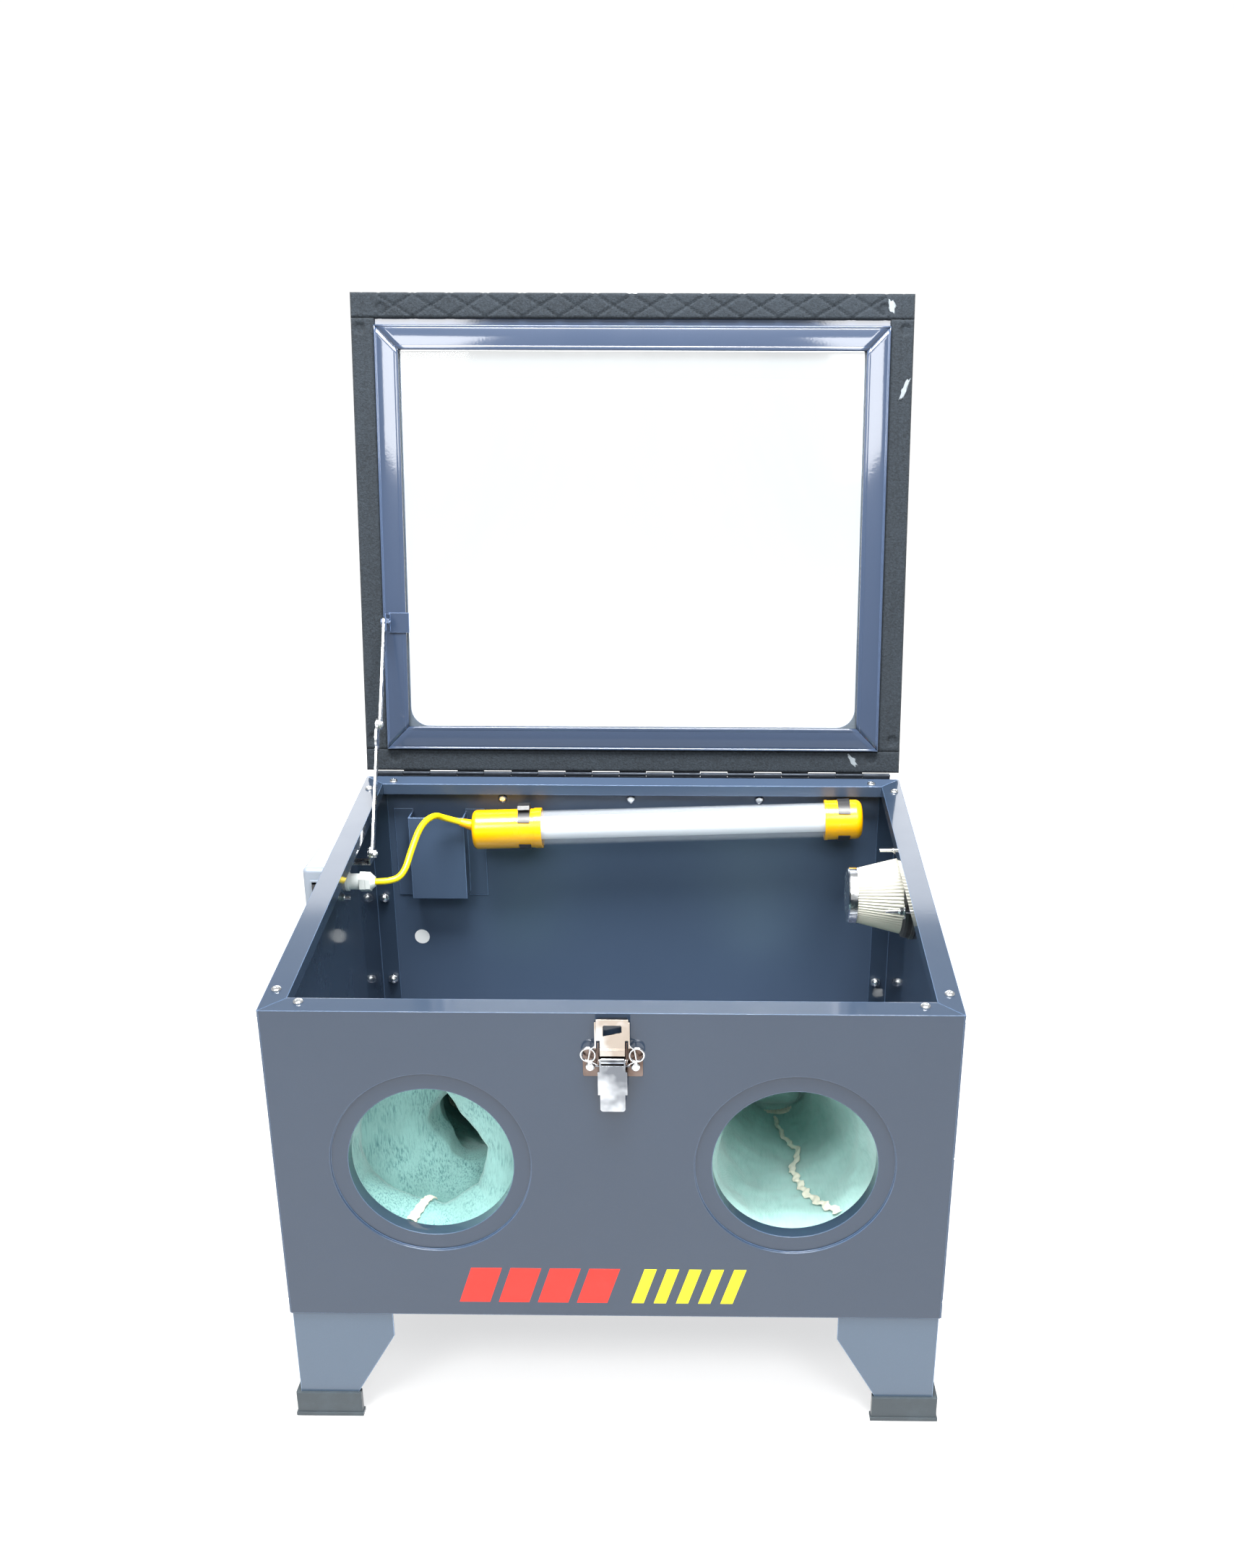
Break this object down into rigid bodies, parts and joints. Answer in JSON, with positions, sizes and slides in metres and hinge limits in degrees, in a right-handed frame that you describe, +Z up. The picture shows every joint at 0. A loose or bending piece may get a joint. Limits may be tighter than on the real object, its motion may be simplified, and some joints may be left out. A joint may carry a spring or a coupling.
{
  "type": "sandblast cabinet",
  "caption": "Benchtop blast cabinet with a hinged window lid, glove ports, draw latch, lamp, air filter and a blast gun on the grate.",
  "frame": {"origin": "on the floor, below the middle of the overall box with the lid open", "axes": "+X to the operator's right, +Y from the operator towards the hinge, +Z up"},
  "size_m": [0.66, 0.6121, 0.9742],
  "materials": {
    "blue_coat": "satin powder coat, fine orange peel",
    "blue_coat_light": "satin powder coat",
    "zinc": "bright zinc plate",
    "dark_zinc": "dull zinc plate",
    "grate_steel": "satin powder coat, dusty",
    "foam": "closed-cell foam, embossed",
    "foot_rubber": "moulded rubber, matt",
    "ring_rubber": "black rubber",
    "gasket": "dark sheet gasket",
    "filter_paper": "pleated paper",
    "lamp_plastic": "yellow, glossy",
    "black_plastic": "black moulded plastic",
    "tube_clear": "clear tube",
    "tube_white": "white diffuser",
    "box_grey": "dark grey moulded plastic",
    "grey_plastic": "grey nylon",
    "cable_yellow": "yellow cable sheath",
    "glove_green": "woven cotton with streaks",
    "spring_steel": "bright wire",
    "window": "clear pane",
    "ceramic": "ceramic nozzle",
    "gun_alu": "cast, bead blasted"
  },
  "bodies": {
    "cabinet": {"front_panel": "blue_coat", "rear_panel": "blue_coat", "left_panel": "blue_coat", "right_panel": "blue_coat", "floor_pan": "blue_coat", "corner_gussets": "blue_coat", "rim_screws": "zinc", "wall_bolts": "zinc", "side_bolts": "zinc", "leg_front_left": "blue_coat_light", "leg_front_right": "blue_coat_light", "leg_rear_left": "blue_coat_light", "leg_rear_right": "blue_coat_light", "foot_caps": "foot_rubber", "grate_rails": "grate_steel", "work_grate": "grate_steel", "rear_baffle": "blue_coat", "wall_screws": "zinc", "filter_element": "filter_paper", "filter_end_cap": "zinc", "filter_base_ring": "ring_rubber", "filter_gasket": "gasket", "filter_rods": "zinc", "lamp_cap_left": "lamp_plastic", "lamp_cap_right": "lamp_plastic", "lamp_tube": "tube_clear", "lamp_core": "tube_white", "lamp_clips": "black_plastic", "lamp_boot": "lamp_plastic", "gland_body": "grey_plastic", "gland_cap": "grey_plastic", "lamp_cable": "cable_yellow", "switch_box": "box_grey", "glove_left": "glove_green", "glove_right": "glove_green", "glove_clamps": "dark_zinc", "latch_base": "zinc", "latch_screws": "zinc", "latch_pin": "zinc", "stay_wall_bracket": "dark_zinc", "hinge_leaf_cabinet": "dark_zinc", "hinge_pin": "zinc", "air_inlet": "zinc", "dust_outlet": "black_plastic", "gun_body": "gun_alu", "gun_nozzle": "ceramic"},
    "lid": {"hinge_leaf_lid": "dark_zinc", "lid_panel": "blue_coat", "window_pane": "window", "window_frame": "blue_coat", "lid_seal": "foam", "latch_keeper": "zinc", "stay_lid_bracket": "dark_zinc"},
    "stay_lower": {"stay_lower_link": "dark_zinc"},
    "stay_upper": {"stay_upper_link": "dark_zinc"},
    "latch_lever": {"latch_lever": "zinc"},
    "latch_claw": {"latch_claw": "zinc", "latch_springs": "spring_steel"},
    "rocker": {"switch_rocker": "black_plastic"},
    "trigger": {"gun_trigger": "gun_alu"}
  },
  "joints": [
    {"name": "lid_hinge", "type": "hinge", "parent": "cabinet", "child": "lid", "pos_m": [0, 0.19806, 0.4831], "axis": [1, 0, 0], "range_deg": [0, 108.46]},
    {"name": "stay_lower_pivot", "type": "hinge", "parent": "cabinet", "child": "stay_lower", "pos_m": [-0.2679, 0.0718, 0.4305], "axis": [1, 0, 0], "range_deg": [0, 140]},
    {"name": "stay_upper_pivot", "type": "hinge", "parent": "lid", "child": "stay_upper", "pos_m": [-0.2655, 0.20401, 0.6477], "axis": [1, 0, 0], "range_deg": [-142, 0]},
    {"name": "latch_lever_pivot", "type": "hinge", "parent": "cabinet", "child": "latch_lever", "pos_m": [0.0015, -0.3022, 0.3725], "axis": [-1, 0, 0], "range_deg": [0, 95]},
    {"name": "latch_claw_pivot", "type": "hinge", "parent": "latch_lever", "child": "latch_claw", "pos_m": [0.0015, -0.3002, 0.367], "axis": [1, 0, 0], "range_deg": [0, 105]},
    {"name": "switch_rocker_pivot", "type": "hinge", "parent": "cabinet", "child": "rocker", "pos_m": [-0.315, 0.0218, 0.4065], "axis": [1, 0, 0], "range_deg": [-16, 0]},
    {"name": "trigger_pivot", "type": "hinge", "parent": "cabinet", "child": "trigger", "pos_m": [0.2435, -0.1372, 0.189], "axis": [0, 0, -1], "range_deg": [0, 12], "stiffness_Nm_per_rad": 0.2, "springref_deg": -5.73}
  ],
  "couplings": [
    {"joint": "stay_lower_pivot", "follows": "lid_hinge", "ratio": 1.2843},
    {"joint": "stay_upper_pivot", "follows": "lid_hinge", "ratio": -1.3026},
    {"joint": "latch_claw_pivot", "follows": "latch_lever_pivot", "ratio": 1.1}
  ]
}
